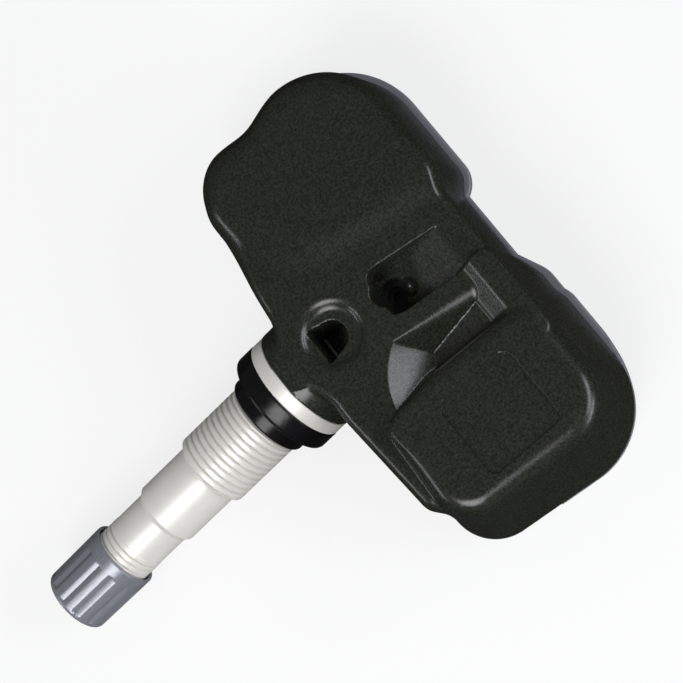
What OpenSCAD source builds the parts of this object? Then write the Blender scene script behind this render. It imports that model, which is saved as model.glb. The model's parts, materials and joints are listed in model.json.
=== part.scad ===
// Tyre pressure sensor with a clamp-in valve stem. All lengths are millimetres.
// The stem runs along +Z, out through the wheel. The rim bears on the grommet at Z = 0.
// The housing is drawn level, in its own frame, and then dipped to its angle on the stem:
// X along the two lobes, Y away from the stem, Z out of the face with the ports.

/* [Grommet] */
// Radius of the grommet's flange, inside the wheel
seat_r = 7.2; // [6.8:0.1:8.5]
// Thickness of the grommet's flange
seat_t = 2.7; // [1.5:0.1:4]
// Radius of the sleeve that fills the rim hole
sleeve_r = 5.5; // [5.2:0.05:5.6]
// Length of the sleeve past the rim face
sleeve_len = 2.16; // [1.5:0.1:4]
// Edge rounding of the grommet's flange
seat_round = 0.7; // [0.2:0.1:1]

/* [Stem] */
// How far the metal flange stands inside the edge of the grommet's
flange_set = 0.05; // [0:0.05:1]
// Thickness of the metal flange
flange_t = 1.9; // [1:0.1:3]
// Radius of the shank under the grommet
shank_r = 4.4; // [4:0.1:4.8]
// Outer radius of the nut thread
nut_thread_r = 5; // [4.9:0.05:5.1]
// Length of the nut thread
nut_thread_len = 10.2; // [6:0.1:14]
// Chamfer at both ends of the nut thread
nut_thread_chamfer = 0.4; // [0.1:0.1:0.6]
// Radius of the smooth barrel
barrel_r = 4.3; // [4.2:0.02:4.8]
// Length of the smooth barrel
barrel_len = 8.9; // [5:0.1:14]
// Length of the cone from the barrel down to the neck
shoulder_len = 1.3; // [0.4:0.1:2]
// Radius of the plain neck
neck_r = 3.8; // [3.4:0.05:3.8]
// Length of the plain neck
neck_len = 4.3; // [2:0.1:8]
// Outer radius of the cap thread
cap_thread_r = 3.85; // [3.8:0.05:3.9]
// Length of the cap thread
cap_thread_len = 9.6; // [9:0.1:12]
// Radius of the tail held in the housing
tail_r = 4.2; // [3.8:0.1:4.4]
// Length of the tail
tail_len = 4.5; // [3.5:0.1:5]
// Depth of the retaining groove round the tail
tail_groove = 0.6; // [0.3:0.1:0.9]
// Radius of the air bore
air_bore_r = 1.6; // [1:0.1:1.9]

/* [Valve core] */
// Radius of the core's thread
core_thread_r = 2.6; // [2.55:0.05:2.7]
// Height of the threaded plug
plug_h = 3; // [2:0.1:4]
// Height of the two key lugs on the plug
lug_h = 1.3; // [0.8:0.1:1.6]
// Gap from the stem's tip down to the lugs
plug_sink = 0.5; // [0.2:0.1:1]
// Radius of the barrel of the core
core_barrel_r = 1.95; // [1.8:0.05:2]
// Length of the barrel of the core
core_barrel_len = 10.7; // [9:0.1:12]
// Bore radius of the core's barrel
core_bore_r = 1.4; // [1.3:0.05:1.5]
// Thickness of the ledge that carries the spring
core_ledge_t = 1.5; // [1:0.1:2]
// Radius of the pin
pin_r = 0.6; // [0.5:0.05:0.65]
// Clearance round the pin where it passes through a hole
pin_gap = 0.15; // [0.1:0.05:0.25]
// Radius of the collar that the spring pushes
collar_r = 1.2; // [1.1:0.05:1.25]
// Height of the collar on the pin
collar_h = 0.8; // [0.5:0.1:1.2]
// Inward travel of the pin
pin_travel = 1; // [0.5:0.1:1.5]
// Outer radius of the cup
cup_r = 1.8; // [1.7:0.05:1.85]
// Height of the cup
cup_h = 1.6; // [1.2:0.1:2]
// Length of the spring
spring_len = 6.4; // [5:0.1:7]
// Wire diameter of the spring
spring_wire = 0.28; // [0.2:0.02:0.34]
// Turns of the spring
spring_turns = 6; // [4:1:8]

/* [Cap] */
// Outer radius of the cap at its closed end
cap_r = 4.4; // [4.3:0.05:5]
// Radius at the cap's mouth
cap_mouth_r = 4.5; // [4.4:0.05:4.65]
// Length of the cap
cap_len = 9.2; // [9:0.1:12]
// Edge rounding of the cap's closed end
cap_round = 0.7; // [0.3:0.1:1]
// Thickness of the cap's closed end
cap_end_t = 1.2; // [1:0.1:2]
// Radius of the relief inside the mouth
cap_relief_r = 4.1; // [4.05:0.05:4.3]
// Depth of the relief inside the mouth
cap_relief_len = 1; // [0.5:0.1:2]
// Radial clearance of the cap on its thread
cap_fit = 0.05; // [0.03:0.01:0.09]
// Number of flutes round the cap
cap_flutes = 12; // [10:1:20]
// Depth of a flute
flute_depth = 0.25; // [0.1:0.05:0.3]
// Width of a flute
flute_w = 1.3; // [0.6:0.1:1.6]
// Length of a flute
flute_len = 6.7; // [4:0.1:7]
// Thickness of the seal disc in the cap
cap_seal_t = 1; // [0.6:0.1:1.5]
// Radius of the seal disc
cap_seal_r = 3.6; // [3.2:0.1:3.8]

/* [Housing] */
// Dip of the stem below the housing's face, in degrees
stem_dip = 10; // [5:0.5:15]
// Height of the middle face above the stem axis
face_z = 7.5; // [7.3:0.1:8]
// Step from the middle face up to the left lobe
left_step = 0.5; // [0.3:0.1:1.4]
// Step from the middle face up to the right lobe
right_step = 2; // [1.4:0.1:2.6]
// Depth of the underside below the stem axis
base_depth = 7.6; // [7.4:0.1:8.5]
// Reach of the left lobe from the stem axis, at its foot
left_reach = 30.5; // [29:0.1:32]
// Reach of the right lobe from the stem axis, at its foot
right_reach = 30.8; // [30:0.1:32]
// Far side of the lobes from the stem flange
far_y = 31.5; // [31:0.1:33]
// Set-back of the far side between the lobes
waist_depth = 1.7; // [1:0.1:2]
// Edge rounding of the left lobe
left_round = 2.5; // [1.5:0.1:3]
// Edge rounding of the right lobe
right_round = 2.2; // [1.5:0.1:2.6]
// Edge rounding of the middle face
face_round = 1.5; // [0.8:0.1:2]
// Wall thickness
wall = 1.5; // [1.2:0.1:1.8]

/* [Ports] */
// Radius of the round dish over the air outlet
dish_r = 3.7; // [3.4:0.1:4]
// Depth of the dish
dish_depth = 0.7; // [0.4:0.1:1]
// Distance of the dish from the stem flange
dish_y = 8.9; // [8.7:0.1:9.2]
// Width of the air outlet at its straight side
outlet_w = 4.8; // [4.2:0.1:5]
// Radius of the round end of the air outlet
outlet_r = 2; // [1.8:0.1:2.2]
// Slope of the port ramp, in degrees
ramp_slope = 24; // [20:1:25]
// Far end of the port ramp from the stem flange
ramp_y = 26.5; // [26:0.1:27]
// Radius of the pressure port
port_r = 1.85; // [1.5:0.05:2]
// Slope of the valley floor, in degrees
valley_slope = 16; // [12:1:17]
// Slope of the valley's face under the ridge, in degrees
ridge_slope = 47; // [42:1:50]
// Slope of the valley's curved face, in degrees
sail_slope = 39; // [36:1:43]

/* [Label recess] */
// Length of the square recess on the right lobe
recess_w = 10.6; // [9:0.1:11]
// Corner radius of the recess
recess_round = 1.2; // [0.8:0.1:2]
// Depth of the recess
recess_depth = 0.25; // [0.1:0.05:0.4]

/* [Base cover] */
// Thickness of the cover
cover_t = 1.2; // [0.8:0.1:2]
// How far the cover's lip stands out past the housing
lip = 0.75; // [0.4:0.05:1]
// How far the lip stands out in the notch between the lobes
notch_lip = 0.4; // [0.2:0.1:0.8]
// Where the lip ends on both sides
lip_y = 15.2; // [14:0.1:17]
// Height of the locating rib inside the housing
rib_h = 0.9; // [0.6:0.1:1.2]
// Thickness of the locating rib
rib_t = 1; // [0.8:0.1:1.2]
// Clearance round the locating rib
rib_fit = 0.15; // [0.05:0.05:0.3]

/* [Inside] */
// Radius of the coin cell
cell_r = 10; // [9.8:0.1:10.1]
// Thickness of the coin cell
cell_t = 5; // [4.5:0.1:5.2]
// Clearance round the coin cell
cell_fit = 0.3; // [0.1:0.1:0.4]
// Thickness of the contact straps
tab_t = 0.25; // [0.15:0.05:0.4]
// Width of the contact straps
tab_w = 3; // [2:0.1:4]
// Thickness of the circuit board
board_t = 1; // [0.8:0.1:1.6]
// Width of the sensor chip
chip_w = 6; // [5:0.1:7]
// Thickness of the port seal
port_seal_t = 0.6; // [0.4:0.1:0.8]
// Height of the antenna loop above the board
antenna_h = 6; // [4:0.1:7]
// Length of the wake-up coil
coil_len = 8; // [6:0.1:9]

/* [Hidden] */
$fn = 72;

eps = 0.01;
far = 60;
slip = 0.02;
ring_n = 48;
arc_step = 18;

// Heights along the stem, from the rim seat
flange_front = -seat_t;
flange_back = flange_front - flange_t;
tail_end = flange_back - tail_len;
nut_thread_z = sleeve_len;
barrel_z = nut_thread_z + nut_thread_len;
neck_z = barrel_z + barrel_len;
cap_thread_z = neck_z + neck_len;
tip_z = cap_thread_z + cap_thread_len;

// Heights of the valve core, from the stem's tip down
lug_top = tip_z - plug_sink;
plug_top = lug_top - lug_h;
plug_foot = plug_top - plug_h;
core_foot = plug_foot - core_barrel_len;
ledge_top = core_foot + core_ledge_t;
collar_z = ledge_top + spring_len;
core_seat_r = core_thread_r + 0.05;
chamber_r = core_barrel_r + 0.2;
core_cone_h = 1.2;
core_mouth_z = plug_foot - 0.9;
chamber_foot = core_foot - cup_h - pin_travel - 1.4;
gasket_h = 1.1;

// Heights of the cap
cap_seal_z = tip_z;
cap_inner_z = cap_seal_z + cap_seal_t;
cap_top = cap_inner_z + cap_end_t;
cap_mouth_z = cap_top - cap_len;

// Levels of the housing, in its own frame
base_z = -base_depth;
left_z = face_z + left_step;
right_z = face_z + right_step;
flange_gap = flange_t;
flange_r = seat_r - flange_set;
tail_y = (flange_t + tail_len) / cos(stem_dip);
ramp_end_y = 15.95;
ramp_floor_z = face_z - (ramp_y - ramp_end_y) * tan(ramp_slope);
board_ceiling = ramp_floor_z - 1.03;

// Corner circles of each lofted form, as [x, y, radius], at the foot and at the shoulder
left_foot = [[11 - left_reach, far_y - 11, 11], [8.5 - left_reach, 12.3, 7.3],
    [-10, 11, 6.4], [-9.4, far_y - 3, 3]];
left_shoulder = [[12.3 - left_reach, far_y - 10.2, 9.8], [9.9 - left_reach, 12.2, 6.5],
    [-12.4, 17, 6.9], [-8.4, far_y - 4.4, 4]];
right_foot = [[right_reach - 10, far_y - 10, 10], [12, far_y - 3.2, 3.2], [13.6, 15, 5.4],
    [12.6, 10, 3.4], [right_reach - 7.3, 10.3, 6.2]];
right_shoulder = [[right_reach - 7.9, far_y - 8, 6.25], [15, far_y - 5, 3.25], [16.8, 14.6, 5.4],
    [15.1, 9.4, 2.6], [right_reach - 7.6, 11.6, 5.25]];
waist_y = far_y - waist_depth;
mid_foot = [[-20, waist_y - 2.7, 2.7], [-20, 9, 3.4], [-6, 6.6, 2.7], [9, 6.2, 2.7],
    [22, 7.2, 2.8], [22, waist_y - 2.7, 2.7]];

// Boss round the air outlet, and the collar that meets the stem's flange
boss_r = flange_r;
boss_round = 1.6;
collar_clear = 0.3;
boss_foot_z = -4;

// The bar that closes the valley on the far side
bar_x = 4.3;
bar_end_x = 17;
bar_y = 27.4;
bar_z = face_z + 1.3;

// The valley's ridge line, and the middle of the curved face below it
ridge_x = 5.4;
ridge_y = 13.5;
ridge_turn = 10;
valley_far_y = 27.5;
sail_x = 8.6;
sail_y = 10.5;
sail_turn = 57;
sail_bend_r = 16;

// The board and the cell
cell_x = right_reach - cell_r - 2.7;
cell_y = far_y - cell_r - 3;
cell_z = base_z + rib_h;
board_top = cell_z + cell_t;
board_z = board_top - board_t;
board_left = 6.5 - left_reach;
board_right = cell_x - cell_r - 0.6;
board_near = 12.7;
board_far = far_y - 3.9;
coil_x = board_left + coil_len / 2 + 5;
antenna_x = board_left + 4;
antenna_y = (board_near + board_far) / 2 - 1.55;
antenna_w = left_shoulder[2][0] + left_shoulder[2][2] - 2.5 - antenna_x;
mid_room = [[coil_x + 2, board_near - 0.7], [cell_x - cell_r / 2 + 0.4, board_far + 0.4]];
chip_y = ramp_end_y + 1;
chip_x = 0.2;
pair_x = (coil_x + coil_len / 2 + chip_x - chip_w / 2) / 2;
tab_low_y = max(board_near + 0.8, cell_y - cell_r / 2);
tab_high_y = board_far - 5.1;

function mix(a, b, t) = a + (b - a) * t;
function reach(c, a) = c[0] * cos(a) + c[1] * sin(a) + c[2];
function lead(cs, a) =
    let (r = [for (c = cs) reach(c, a)], top = max(r))
    [for (i = [0:len(cs) - 1]) if (r[i] == top) i][0];
function outline(cs, inset) = [for (k = [0:ring_n - 1])
    let (a = 360 * k / ring_n, c = cs[lead(cs, a)])
    [c[0] + (c[2] - inset) * cos(a), c[1] + (c[2] - inset) * sin(a)]];
function ring(foot, shoulder, z, t, inset) = [for (k = [0:ring_n - 1])
    let (a = 360 * k / ring_n, i = lead(foot, a), c = mix(foot[i], shoulder[i], t))
    [c[0] + (c[2] - inset) * cos(a), c[1] + (c[2] - inset) * sin(a), z]];

// A moulded form that rises from one outline to another and turns over in a round edge
module lofted(foot, shoulder, z0, z1, r) {
    turns = 90 / arc_step;
    rings = turns + 2;
    points = concat(ring(foot, shoulder, z0, 0, 0),
        [for (j = [0:turns]) let (a = j * arc_step)
            each ring(foot, shoulder, z1 - r + r * sin(a), 1, r * (1 - cos(a)))]);
    sides = [for (j = [0:rings - 2], i = [0:ring_n - 1])
        let (a = j * ring_n + i, b = j * ring_n + (i + 1) % ring_n)
        each [[a, a + ring_n, b + ring_n], [a, b + ring_n, b]]];
    foot_face = [for (i = [0:ring_n - 1]) i];
    top_face = [for (i = [ring_n - 1:-1:0]) (rings - 1) * ring_n + i];
    polyhedron(points, concat([foot_face], sides, [top_face]));
}

// Places a shape drawn in the housing's own frame
module on_stem() {
    translate([0, 0, flange_front]) rotate([-90 - stem_dip, 0, 0]) children();
}

// Places a shape drawn along the stem, from the flange's front face, in the housing's frame
module along_stem() {
    rotate([90 + stem_dip, 0, 0]) children();
}

module tube(r_out, r_in, z0, z1) {
    translate([0, 0, z0]) difference() {
        cylinder(r = r_out, h = z1 - z0);
        translate([0, 0, -1]) cylinder(r = r_in, h = z1 - z0 + 2);
    }
}

module rounded_square(w, h, r) {
    square([w - 2 * r, h], center = true);
    square([w, h - 2 * r], center = true);
    for (x = [-1, 1], y = [-1, 1])
        translate([x * (w / 2 - r), y * (h / 2 - r)]) circle(r);
}

module box_on(x, y, z, size) {
    translate([x - size[0] / 2, y - size[1] / 2, z]) cube(size);
}

// The round bulge of the face towards the stem
module boss() {
    translate([0, dish_y, 0]) rotate_extrude() polygon(concat(
        [[0, boss_foot_z], [boss_r, boss_foot_z]],
        [for (a = [0:15:90])
            [boss_r - boss_round * (1 - cos(a)), face_z - boss_round * (1 - sin(a))]],
        [[0, face_z]]));
    intersection() {
        along_stem() translate([0, 0, -flange_gap - 7]) cylinder(r = flange_r - 0.1, h = 7);
        translate([-far, -far, base_z]) cube([2 * far, 2 * far, face_z - collar_clear - base_z]);
    }
}

// The bar across the far end of the valley
module valley_bar() {
    intersection() {
        translate([bar_x, 0, 0]) rotate([90, 0, 90]) linear_extrude(bar_end_x - bar_x)
            polygon([[bar_y - 2.9, base_z], [bar_y - 2.9, bar_z - 2.1], [bar_y - 0.3, bar_z - 0.15],
                [bar_y + 0.3, bar_z], [far_y - 3, bar_z - 0.1], [far_y - 1.9, bar_z - 1.4],
                [far_y - 1.2, face_z - 3], [far_y, base_z]]);
        translate([0, 0, base_z - 1]) linear_extrude(far) polygon([[bar_x - 0.5, bar_y - 3],
            [bar_end_x, bar_y - 3], [bar_end_x, far_y + 1], [bar_x + 3.1, far_y],
            [bar_x - 0.5, waist_y]]);
    }
}

// The hollow between the middle face and the right lobe: a sloping floor, a flat face
// down from the ridge line, and a curved face on the stem's side
module valley() {
    intersection() {
        translate([-far / 2, 0, 0]) rotate([90, 0, 90]) linear_extrude(far)
            polygon([[valley_far_y, face_z], [0, face_z - valley_far_y * tan(valley_slope)],
                [0, face_z + 5], [valley_far_y, face_z + 5]]);
        translate([ridge_x, ridge_y, face_z]) rotate([0, 0, -ridge_turn])
            translate([0, far / 2, 0]) rotate([90, 0, 0]) linear_extrude(far)
                polygon([[0, 0], [far, -far * tan(ridge_slope)], [far, 5], [-5 / tan(ridge_slope), 5]]);
        translate([sail_x, sail_y, face_z]) rotate([0, 0, sail_turn]) rotate([0, sail_slope, 0])
            translate([-far / 2, 0, sail_bend_r]) rotate([0, 90, 0])
                cylinder(r = sail_bend_r, h = far, $fn = 180);
    }
}

// The recess that falls to the pressure port
module port_ramp() {
    intersection() {
        translate([-5, 0, 0]) rotate([90, 0, 90]) linear_extrude(12)
            polygon([[ramp_y, face_z], [0, face_z - ramp_y * tan(ramp_slope)],
                [0, face_z + 2], [ramp_y, face_z + 2]]);
        linear_extrude(far) polygon([[-1.35, ramp_y + 1], [-2.9, ramp_end_y + 1.2],
            [-2.6, ramp_end_y + 0.4], [-2, ramp_end_y], [3, ramp_end_y],
            [3.6, ramp_end_y + 0.9], [4.6, ramp_y + 1]]);
    }
    intersection() {
        translate([chip_x, chip_y, -far]) cylinder(r = port_r, h = 2 * far);
        translate([-far, ramp_end_y, board_ceiling - 1]) cube([2 * far, far, face_z - board_ceiling]);
    }
    translate([chip_x + 0.7, chip_y + 1.9, ramp_floor_z + 0.4]) cylinder(r = 1.2, h = 6);
}

// The dish and the air outlet that opens the stem's bore to the tyre
module air_outlet() {
    translate([0, dish_y, 0]) rotate_extrude() polygon([[0, face_z - dish_depth],
        [dish_r - 0.5, face_z - dish_depth], [dish_r, face_z], [dish_r, face_z + 1], [0, face_z + 1]]);
    translate([0, 0, -1]) linear_extrude(face_z + 1) {
        translate([0, dish_y - 0.3]) circle(outlet_r);
        polygon([[-outlet_w / 2, tail_y], [outlet_w / 2, tail_y], [outlet_w / 2, tail_y + 0.9],
            [outlet_r * 0.9, dish_y + 0.5], [-outlet_r * 0.9, dish_y + 0.5], [-outlet_w / 2, tail_y + 0.9]]);
    }
}

// The rooms inside, as a plan drawing drawn in by a clearance
module rooms(inset) {
    polygon(outline(left_shoulder, wall + inset));
    translate(mid_room[0] + [inset, inset]) square(mid_room[1] - mid_room[0] - 2 * [inset, inset]);
    translate([cell_x, cell_y]) circle(cell_r + cell_fit - inset);
}

module cavity() {
    room_foot = base_z - 1;
    translate([0, 0, room_foot]) linear_extrude(left_z - wall - room_foot)
        polygon(outline(left_shoulder, wall));
    translate([mid_room[0][0], mid_room[0][1], room_foot])
        cube([mid_room[1][0] - mid_room[0][0], mid_room[1][1] - mid_room[0][1],
            board_ceiling - room_foot]);
    translate([cell_x, cell_y, room_foot])
        cylinder(r = cell_r + cell_fit, h = board_top + 1.5 - room_foot);
}

module housing() {
    color([0.2, 0.2, 0.19]) on_stem() difference() {
        union() {
            difference() {
                union() {
                    lofted(mid_foot, mid_foot, base_z, face_z, face_round);
                    boss();
                }
                valley();
                port_ramp();
            }
            lofted(left_foot, left_shoulder, base_z, left_z, left_round);
            lofted(right_foot, right_shoulder, base_z, right_z, right_round);
            valley_bar();
        }
        cavity();
        air_outlet();
        along_stem() translate([0, 0, -flange_gap]) cylinder(r = far, h = far);
        along_stem() translate([0, 0, -flange_gap - tail_len]) cylinder(r = tail_r + slip, h = far);
        translate([right_reach - 10.2, far_y - 12.8, right_z - recess_depth])
            linear_extrude(far) rounded_square(recess_w, recess_w, recess_round);
    }
}

// The plan of the cover: the foot of each form, grown by the lip
module cover_plan(grow) {
    narrow = min(grow, notch_lip);
    for (foot = [left_foot, right_foot]) polygon(outline(foot, -grow));
    polygon(outline(mid_foot, -narrow));
    if (grow > 0) polygon([[bar_x - 0.9, waist_y - 4], [bar_end_x, waist_y - 4],
        [bar_end_x, far_y + narrow], [bar_x + 3, far_y + narrow], [bar_x - 0.9, waist_y + narrow]]);
}

module base_cover() {
    color([0.42, 0.42, 0.44]) on_stem() {
        translate([0, 0, base_z - cover_t]) linear_extrude(cover_t) {
            intersection() {
                cover_plan(lip);
                translate([-far, lip_y]) square([2 * far, far]);
            }
            cover_plan(-lip);
        }
        translate([0, 0, base_z]) linear_extrude(rib_h) difference() {
            rooms(rib_fit);
            rooms(rib_fit + rib_t);
        }
        for (x = [board_left + 4, board_right - 4], y = [board_near + 2.5, board_far - 2.5])
            translate([x, y, base_z]) cylinder(r = 1.2, h = board_z - base_z);
    }
}

module valve_stem() {
    color([0.75, 0.76, 0.78]) difference() {
        rotate_extrude() polygon([
            [0, tail_end], [tail_r, tail_end], [tail_r, tail_end + 1.2],
            [tail_r - tail_groove, tail_end + 1.6], [tail_r - tail_groove, tail_end + 2.6],
            [tail_r, tail_end + 3], [tail_r, flange_back],
            [flange_r - 0.2, flange_back], [flange_r, flange_back + 0.2],
            [flange_r, flange_front - 0.2], [flange_r - 0.2, flange_front],
            [shank_r, flange_front], [shank_r, nut_thread_z],
            [nut_thread_r - nut_thread_chamfer, nut_thread_z],
            [nut_thread_r, nut_thread_z + nut_thread_chamfer],
            [nut_thread_r, barrel_z - nut_thread_chamfer],
            [nut_thread_r - nut_thread_chamfer, barrel_z],
            [barrel_r, barrel_z], [barrel_r, neck_z - shoulder_len],
            [neck_r, neck_z], [neck_r, cap_thread_z],
            [cap_thread_r, cap_thread_z + cap_thread_r - neck_r],
            [cap_thread_r, tip_z - 0.5], [cap_thread_r - 0.5, tip_z], [0, tip_z]]);
        translate([0, 0, tail_end - 1]) cylinder(r = air_bore_r, h = far);
        rotate_extrude() polygon([
            [0, chamber_foot - chamber_r + air_bore_r], [air_bore_r, chamber_foot - chamber_r + air_bore_r],
            [chamber_r, chamber_foot], [chamber_r, core_mouth_z - core_cone_h],
            [core_seat_r, core_mouth_z], [core_seat_r, tip_z - 0.3],
            [core_seat_r + 0.4, tip_z + 0.1], [0, tip_z + 0.1]]);
    }
}

module grommet() {
    color([0.06, 0.06, 0.06]) difference() {
        rotate_extrude() polygon(concat(
            [[0, flange_front], [seat_r - 0.25, flange_front], [seat_r, flange_front + 0.3]],
            [for (a = [0:15:90]) [seat_r - seat_round * (1 - cos(a)), -seat_round * (1 - sin(a))]],
            [[sleeve_r, 0], [sleeve_r, sleeve_len - 0.3], [sleeve_r - 0.3, sleeve_len], [0, sleeve_len]]));
        translate([0, 0, flange_front - 1]) cylinder(r = shank_r + slip, h = far);
    }
}

module valve_cap() {
    lip_r = (cap_mouth_r - cap_relief_r) / 2;
    grip_z = cap_top - cap_round - 0.2 - flute_len;
    side = flute_w / 2 * (1 + 0.5 / flute_depth);
    color([0.45, 0.46, 0.48]) difference() {
        rotate_extrude() polygon(concat(
            [[0, cap_mouth_z], [cap_mouth_r - lip_r, cap_mouth_z], [cap_mouth_r, cap_mouth_z + lip_r]],
            [for (a = [0:15:90])
                [cap_r - cap_round * (1 - cos(a)), cap_top - cap_round * (1 - sin(a))]],
            [[0, cap_top]]));
        translate([0, 0, cap_mouth_z - 1])
            cylinder(r = cap_thread_r + cap_fit, h = cap_inner_z - cap_mouth_z + 1);
        translate([0, 0, cap_mouth_z - 1]) cylinder(r = cap_relief_r, h = cap_relief_len + 1);
        for (i = [0:cap_flutes - 1]) rotate([0, 0, (i + 0.5) * 360 / cap_flutes])
            translate([0, 0, grip_z]) linear_extrude(flute_len) polygon([
                [cap_r - flute_depth, 0], [cap_r + 0.5, -side], [cap_r + 0.5, side]]);
    }
}

module cap_seal() {
    color([0.1, 0.1, 0.1]) translate([0, 0, cap_seal_z]) cylinder(r = cap_seal_r, h = cap_seal_t);
}

module core_plug() {
    color([0.78, 0.66, 0.36]) difference() {
        union() {
            translate([0, 0, plug_foot]) cylinder(r = core_thread_r, h = plug_h);
            difference() {
                translate([0, 0, plug_top]) cylinder(r = core_thread_r - 0.7, h = lug_h);
                translate([-far, -0.9, plug_top]) cube([2 * far, 1.8, far]);
            }
        }
        translate([0, 0, plug_foot - 1]) cylinder(r = pin_r + pin_gap, h = far);
    }
}

module core_barrel() {
    color([0.75, 0.62, 0.33]) difference() {
        translate([0, 0, core_foot]) cylinder(r = core_barrel_r, h = core_barrel_len);
        translate([0, 0, ledge_top]) cylinder(r = core_bore_r, h = far);
        translate([0, 0, core_foot - 1]) cylinder(r = pin_r + 0.25, h = far);
    }
}

// The sealing ring that the plug presses into the cone of the stem
module core_washer() {
    cone_foot = core_mouth_z - core_cone_h;
    color([0.85, 0.85, 0.82]) difference() {
        rotate_extrude() polygon([[0, cone_foot + 0.1], [chamber_r, cone_foot + 0.1],
            [core_seat_r - 0.08, core_mouth_z], [core_seat_r - 0.08, plug_foot], [0, plug_foot]]);
        translate([0, 0, cone_foot - 1]) cylinder(r = core_barrel_r + slip, h = far);
    }
}

module core_pin() {
    color([0.8, 0.7, 0.42]) {
        translate([0, 0, core_foot - cup_h]) cylinder(r = pin_r, h = tip_z - 0.25 - core_foot + cup_h);
        translate([0, 0, collar_z]) cylinder(r = collar_r, h = collar_h);
    }
}

module core_cup() {
    color([0.75, 0.62, 0.33]) difference() {
        translate([0, 0, core_foot - cup_h - 0.4]) cylinder(r = cup_r, h = cup_h);
        translate([0, 0, core_foot - gasket_h]) cylinder(r = cup_r - 0.2, h = far);
        translate([0, 0, core_foot - cup_h]) cylinder(r = pin_r + slip, h = far);
    }
}

module core_cup_gasket() {
    color([0.12, 0.12, 0.12]) tube(cup_r - 0.22, pin_r + slip, core_foot - gasket_h, core_foot);
}

// The coil spring, swept as a six-sided wire along its helix
module core_spring() {
    seg = 14;
    sides = 6;
    wire_r = spring_wire / 2;
    coil_r = (core_bore_r + pin_r) / 2;
    steps = spring_turns * seg;
    rise = (spring_len - spring_wire) / steps;
    points = [for (k = [0:steps], s = [0:sides - 1])
        let (a = 360 * k / seg, w = 360 * s / sides + 30, r = coil_r + wire_r * cos(w))
        [r * cos(a), r * sin(a), ledge_top + wire_r + k * rise + wire_r * sin(w)]];
    skin = [for (k = [0:steps - 1], s = [0:sides - 1])
        let (a = k * sides + s, b = k * sides + (s + 1) % sides)
        each [[a, b, b + sides], [a, b + sides, a + sides]]];
    color([0.7, 0.7, 0.72]) polyhedron(points, concat([[for (s = [sides - 1:-1:0]) s]], skin,
        [[for (s = [0:sides - 1]) steps * sides + s]]));
}

module pcb() {
    w = board_right - board_left;
    h = board_far - board_near;
    color([0.1, 0.35, 0.2]) on_stem()
        translate([(board_left + board_right) / 2, (board_near + board_far) / 2, board_z])
            linear_extrude(board_t) rounded_square(w, h, 3);
}

module battery_cell() {
    color([0.78, 0.78, 0.8]) on_stem() translate([cell_x, cell_y, cell_z]) rotate_extrude() polygon([
        [0, 0], [cell_r - 1.4, 0], [cell_r - 1.2, 0.5], [cell_r - 0.4, 0.5], [cell_r, 0.9],
        [cell_r, cell_t - 0.3], [cell_r - 0.3, cell_t], [0, cell_t]]);
}

module battery_tab_top() {
    color([0.82, 0.8, 0.72]) on_stem() translate([board_right - 2, tab_high_y, board_top])
        cube([cell_x - board_right + 4, tab_w, tab_t]);
}

module battery_tab_bottom() {
    leg_x = board_right - 2;
    color([0.82, 0.8, 0.72]) on_stem() {
        translate([leg_x, tab_low_y, cell_z - tab_t]) cube([cell_x - leg_x, tab_w, tab_t]);
        translate([leg_x, tab_low_y, cell_z - tab_t]) cube([tab_t, tab_w, board_z - cell_z + tab_t]);
    }
}

module sensor_chip() {
    chip_h = board_ceiling - port_seal_t - board_top;
    color([0.14, 0.14, 0.15]) on_stem() difference() {
        box_on(chip_x, chip_y, board_top, [chip_w, chip_w, chip_h]);
        translate([chip_x, chip_y, board_top + chip_h - 0.6]) cylinder(r = 0.6, h = 2);
    }
}

module port_seal() {
    color([0.1, 0.1, 0.1]) on_stem() translate([chip_x, chip_y, 0])
        tube(port_r + 0.6, port_r - 0.65, board_ceiling - port_seal_t, board_ceiling);
}

module crystal() {
    color([0.8, 0.8, 0.78]) on_stem() box_on(board_left + 7, board_far - 3, board_top, [5, 3.2, 1.2]);
}

module lf_coil_core() {
    color([0.25, 0.22, 0.2]) on_stem() {
        box_on(coil_x, board_near + 3, board_top + 0.6, [coil_len, 2, 2]);
        for (side = [-1, 1])
            box_on(coil_x + side * (coil_len / 2 - 0.5), board_near + 3, board_top, [1, 3.2, 3.2]);
    }
}

module lf_coil_winding() {
    span = coil_len - 2 - 0.1;
    color([0.72, 0.4, 0.2]) on_stem() difference() {
        box_on(coil_x, board_near + 3, board_top + 0.15, [span, 2.9, 2.9]);
        box_on(coil_x, board_near + 3, board_top + 0.58, [coil_len, 2.04, 2.04]);
    }
}

module capacitors() {
    color([0.62, 0.5, 0.36]) on_stem() {
        for (i = [0:3]) box_on(board_left + 5.5 + 2.6 * i, board_near + 8.6, board_top, [1.25, 2, 0.9]);
        for (i = [0:1]) box_on(pair_x, board_near + 3 + 3 * i, board_top, [2, 1.25, 0.9]);
        box_on(board_right - 3, board_far - 2.8, board_top, [1.6, 3.2, 1.6]);
    }
}

// A stamped loop that stands on the board in the left lobe
module antenna() {
    x0 = antenna_x;
    x1 = antenna_x + antenna_w;
    strip = 0.5;
    color([0.8, 0.78, 0.7]) on_stem() translate([0, antenna_y, board_top]) {
        for (x = [x0, x1 - strip]) translate([x, 0, 0]) cube([strip, 1.6, antenna_h]);
        translate([x0, 0, antenna_h - strip]) cube([x1 - x0, 1.6, strip]);
    }
}

housing();
base_cover();
valve_stem();
grommet();
valve_cap();
cap_seal();
core_plug();
core_barrel();
core_washer();
core_pin();
core_cup();
core_cup_gasket();
core_spring();
pcb();
battery_cell();
battery_tab_top();
battery_tab_bottom();
sensor_chip();
port_seal();
crystal();
lf_coil_core();
lf_coil_winding();
capacitors();
antenna();
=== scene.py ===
import json
import math

import bpy
import numpy as np
from mathutils import Matrix


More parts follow.
